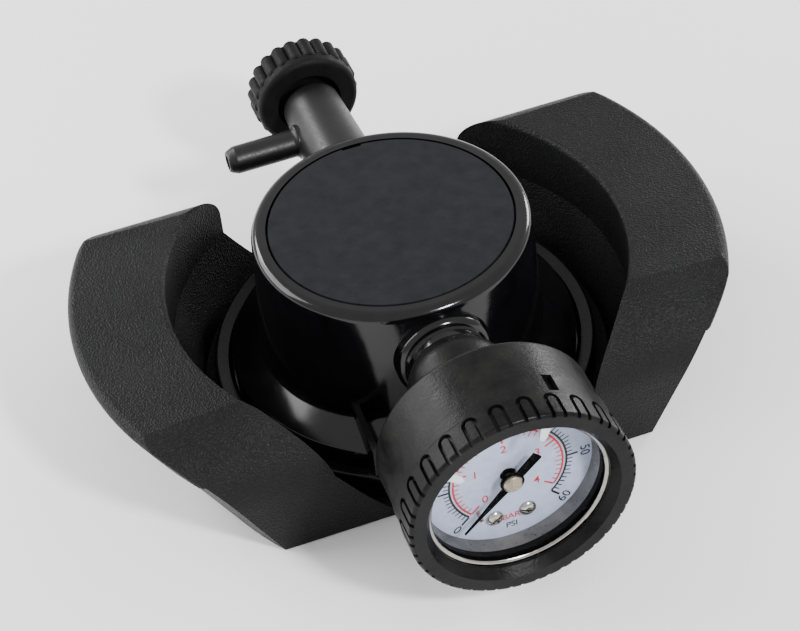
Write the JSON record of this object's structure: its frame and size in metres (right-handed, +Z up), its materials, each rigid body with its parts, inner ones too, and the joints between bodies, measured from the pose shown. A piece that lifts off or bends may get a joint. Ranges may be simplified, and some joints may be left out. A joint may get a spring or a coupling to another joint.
{
  "type": "filter lid knob with gauge",
  "caption": "Two-winged threaded hand knob for a filter lid, with a swivelling port body, a dial pressure gauge in a guard with a turning marker bezel, and a screw relief valve.",
  "frame": {"origin": "centre of the stud thread at the face that bears on the filter lid", "axes": "+Z up along the stud and out of the lid, -Y toward the gauge's face, +Y toward the relief valve's knob, +X toward one wing"},
  "size_m": [0.1664, 0.1694, 0.064],
  "materials": {
    "handle_plastic": "leather-grained matte black",
    "manifold_plastic": "polished black",
    "cap_plastic": "satin black",
    "guard_plastic": "semi-gloss black with fine turned lines",
    "ring_plastic": "satin black",
    "knob_plastic": "matte black",
    "stem_plastic": "matte black",
    "washer_plastic": "natural white, low friction",
    "marker_plastic": "clear plastic",
    "lens_plastic": "clear polycarbonate",
    "seal_rubber": "black nitrile",
    "brass": "machined",
    "bronze": "drawn phosphor bronze",
    "nickel": "nickel plated",
    "case_steel": "zinc plated",
    "ring_steel": "bright steel",
    "dial_white": "white enamel with printed scale",
    "pointer_black": "black enamel"
  },
  "bodies": {
    "handle": {"winged_handle": "handle_plastic", "threaded_insert": "brass", "bearing_washer": "washer_plastic", "thrust_washer": "washer_plastic", "retaining_ring": "ring_plastic"},
    "manifold": {"manifold_body": "manifold_plastic", "cap_disc": "cap_plastic", "stud_seal": "seal_rubber", "gauge_cup": "guard_plastic", "gauge_case": "case_steel", "dial_spacer": "case_steel", "lens_gasket": "seal_rubber", "lens": "lens_plastic", "case_ring": "ring_steel", "gauge_socket": "brass", "socket_seal": "seal_rubber", "bourdon_tube": "bronze", "tube_tip": "brass", "movement_rear_plate": "brass", "movement_front_plate": "brass", "movement_pillars": "brass", "dial_plate": "dial_white", "dial_screws": "nickel", "stop_pin": "nickel", "hairspring": "bronze"},
    "bezel": {"bezel_ring": "guard_plastic", "markers": "marker_plastic"},
    "indicator": {"pointer": "pointer_black", "pointer_hub": "brass", "pinion_arbor": "nickel"},
    "sector": {"sector_gear": "brass", "sector_arbor": "nickel"},
    "plug": {"valve_plug": "manifold_plastic", "plug_seal": "seal_rubber"},
    "valve_handle": {"relief_knob": "knob_plastic", "knob_screw": "nickel", "valve_stem": "stem_plastic", "stem_seal": "seal_rubber"}
  },
  "joints": [
    {"name": "manifold_swivel", "type": "hinge", "parent": "handle", "child": "manifold", "pos_m": [0, 0, 0], "axis": [0, 0, 1], "range_deg": [-18, 14]},
    {"name": "bezel_turn", "type": "hinge", "parent": "manifold", "child": "bezel", "pos_m": [0, -0.081, 0.0362], "axis": [0, -1, 0], "continuous": true},
    {"name": "sector_swing", "type": "hinge", "parent": "manifold", "child": "sector", "pos_m": [0.00563, -0.0723, 0.0468], "axis": [0, 1, 0], "range_deg": [-30, 0], "stiffness_Nm_per_rad": 0.001},
    {"name": "pointer_turn", "type": "hinge", "parent": "manifold", "child": "indicator", "pos_m": [0, -0.0723, 0.0362], "axis": [0, 1, 0], "range_deg": [0, 270]},
    {"name": "relief_turn", "type": "hinge", "parent": "plug", "child": "valve_handle", "pos_m": [0, 0.0755, 0.0362], "axis": [0, 1, 0], "range_deg": [0, 540]},
    {"name": "relief_lift", "type": "slide", "parent": "manifold", "child": "plug", "axis": [0, 1, 0], "range_m": [0, 0.0033]}
  ],
  "couplings": [
    {"joint": "pointer_turn", "follows": "sector_swing", "ratio": -9},
    {"joint": "relief_lift", "follows": "relief_turn", "m_per_rad": 0.00031831}
  ]
}
